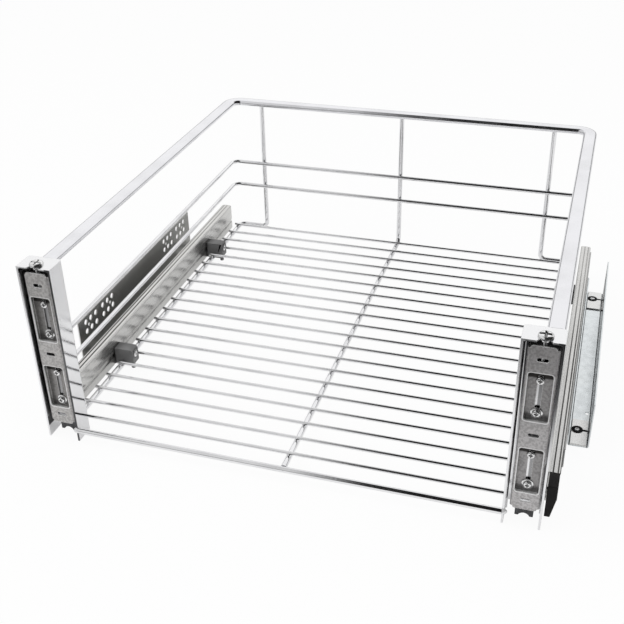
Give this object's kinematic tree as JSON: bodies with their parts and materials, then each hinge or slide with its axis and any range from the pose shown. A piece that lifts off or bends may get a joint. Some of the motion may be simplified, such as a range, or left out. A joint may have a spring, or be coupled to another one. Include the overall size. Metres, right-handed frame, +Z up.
{
  "type": "pull-out cabinet basket",
  "caption": "Chromed wire basket with a flat-oval rim, open at the front, that slides out of a base cabinet on ball runners and carries brackets for the cabinet door.",
  "frame": {"origin": "middle of the footprint, level with the lower ends of the door brackets", "axes": "+X to the right seen from the door, +Y into the cabinet, +Z up; the basket pulls out along -Y"},
  "size_m": [0.568, 0.522, 0.2061],
  "materials": {
    "frame_chrome": "bright chrome on round wire and flat-oval tube",
    "floor_wire_chrome": "bright chrome on thin wire",
    "bracket_chrome": "bright chrome on pressed sheet",
    "plate_steel": "satin nickel plate",
    "profile_steel": "satin roll-formed steel",
    "rail_steel": "satin zinc plate",
    "cage_steel": "zinc strip with bright balls",
    "zinc_steel": "pale blue-grey zinc plate",
    "pad_steel": "pale grey satin coat",
    "screw_steel": "bright zinc",
    "black_plastic": "dark moulded plastic, fine grain",
    "foot_plastic": "dark grey moulded plastic"
  },
  "bodies": {
    "cabinet": {"left_cabinet_bracket": "zinc_steel", "left_cabinet_rail": "rail_steel", "left_adjuster_pads": "pad_steel", "left_adjusting_screws": "screw_steel", "right_cabinet_bracket": "zinc_steel", "right_cabinet_rail": "rail_steel", "right_adjuster_pads": "pad_steel", "right_adjusting_screws": "screw_steel"},
    "left_middle_member": {"left_middle_rail": "rail_steel"},
    "left_inner_cage": {"left_inner_ball_cage": "cage_steel"},
    "left_outer_cage": {"left_outer_ball_cage": "cage_steel"},
    "left_plate": {"left_door_plate": "plate_steel"},
    "left_lift_screw": {"left_height_screw": "screw_steel"},
    "right_middle_member": {"right_middle_rail": "rail_steel"},
    "right_inner_cage": {"right_inner_ball_cage": "cage_steel"},
    "right_outer_cage": {"right_outer_ball_cage": "cage_steel"},
    "right_plate": {"right_door_plate": "plate_steel"},
    "right_lift_screw": {"right_height_screw": "screw_steel"},
    "basket": {"centre_frame_wire": "frame_chrome", "clip_screws": "screw_steel", "floor_wire_1": "floor_wire_chrome", "floor_wire_10": "floor_wire_chrome", "floor_wire_11": "floor_wire_chrome", "floor_wire_12": "floor_wire_chrome", "floor_wire_13": "floor_wire_chrome", "floor_wire_14": "floor_wire_chrome", "floor_wire_15": "floor_wire_chrome", "floor_wire_16": "floor_wire_chrome", "floor_wire_17": "floor_wire_chrome", "floor_wire_18": "floor_wire_chrome", "floor_wire_19": "floor_wire_chrome", "floor_wire_2": "floor_wire_chrome", "floor_wire_20": "floor_wire_chrome", "floor_wire_3": "floor_wire_chrome", "floor_wire_4": "floor_wire_chrome", "floor_wire_5": "floor_wire_chrome", "floor_wire_6": "floor_wire_chrome", "floor_wire_7": "floor_wire_chrome", "floor_wire_8": "floor_wire_chrome", "floor_wire_9": "floor_wire_chrome", "front_rail": "frame_chrome", "left_bracket_foot": "foot_plastic", "left_clamping_screws": "screw_steel", "left_door_bracket": "bracket_chrome", "left_frame_wire": "frame_chrome", "left_front_clip": "black_plastic", "left_rear_clip": "black_plastic", "left_side_profile": "profile_steel", "lower_guard_wire": "frame_chrome", "right_bracket_foot": "foot_plastic", "right_clamping_screws": "screw_steel", "right_door_bracket": "bracket_chrome", "right_frame_wire": "frame_chrome", "right_front_clip": "black_plastic", "right_profile_cap": "black_plastic", "right_rear_clip": "black_plastic", "right_side_profile": "profile_steel", "top_rim": "frame_chrome", "upper_guard_wire": "frame_chrome"}
  },
  "joints": [
    {"name": "basket_slide", "type": "slide", "parent": "cabinet", "child": "basket", "axis": [0, -1, 0], "range_m": [0, 0.45]},
    {"name": "left_middle_member_slide", "type": "slide", "parent": "cabinet", "child": "left_middle_member", "axis": [0, -1, 0], "range_m": [0, 0.2255]},
    {"name": "left_inner_cage_slide", "type": "slide", "parent": "cabinet", "child": "left_inner_cage", "axis": [0, -1, 0], "range_m": [0, 0.338]},
    {"name": "left_outer_cage_slide", "type": "slide", "parent": "cabinet", "child": "left_outer_cage", "axis": [0, -1, 0], "range_m": [0, 0.113]},
    {"name": "left_plate_lift", "type": "slide", "parent": "basket", "child": "left_plate", "axis": [0, 0, 1], "range_m": [-0.0025, 0.0025]},
    {"name": "left_lift_screw_turn", "type": "hinge", "parent": "basket", "child": "left_lift_screw", "pos_m": [-0.243, -0.25, 0.203], "axis": [0, 0, -1], "range_deg": [-905, 905]},
    {"name": "right_middle_member_slide", "type": "slide", "parent": "cabinet", "child": "right_middle_member", "axis": [0, -1, 0], "range_m": [0, 0.2255]},
    {"name": "right_inner_cage_slide", "type": "slide", "parent": "cabinet", "child": "right_inner_cage", "axis": [0, -1, 0], "range_m": [0, 0.338]},
    {"name": "right_outer_cage_slide", "type": "slide", "parent": "cabinet", "child": "right_outer_cage", "axis": [0, -1, 0], "range_m": [0, 0.113]},
    {"name": "right_plate_lift", "type": "slide", "parent": "basket", "child": "right_plate", "axis": [0, 0, 1], "range_m": [-0.0025, 0.0025]},
    {"name": "right_lift_screw_turn", "type": "hinge", "parent": "basket", "child": "right_lift_screw", "pos_m": [0.2325, -0.25, 0.203], "axis": [0, 0, -1], "range_deg": [-905, 905]}
  ],
  "couplings": [
    {"joint": "left_middle_member_slide", "follows": "basket_slide", "ratio": 0.5},
    {"joint": "left_inner_cage_slide", "follows": "basket_slide", "ratio": 0.75},
    {"joint": "left_outer_cage_slide", "follows": "basket_slide", "ratio": 0.25},
    {"joint": "left_lift_screw_turn", "follows": "left_plate_lift", "rad_per_m": 6283.2},
    {"joint": "right_middle_member_slide", "follows": "basket_slide", "ratio": 0.5},
    {"joint": "right_inner_cage_slide", "follows": "basket_slide", "ratio": 0.75},
    {"joint": "right_outer_cage_slide", "follows": "basket_slide", "ratio": 0.25},
    {"joint": "right_lift_screw_turn", "follows": "right_plate_lift", "rad_per_m": 6283.2}
  ]
}
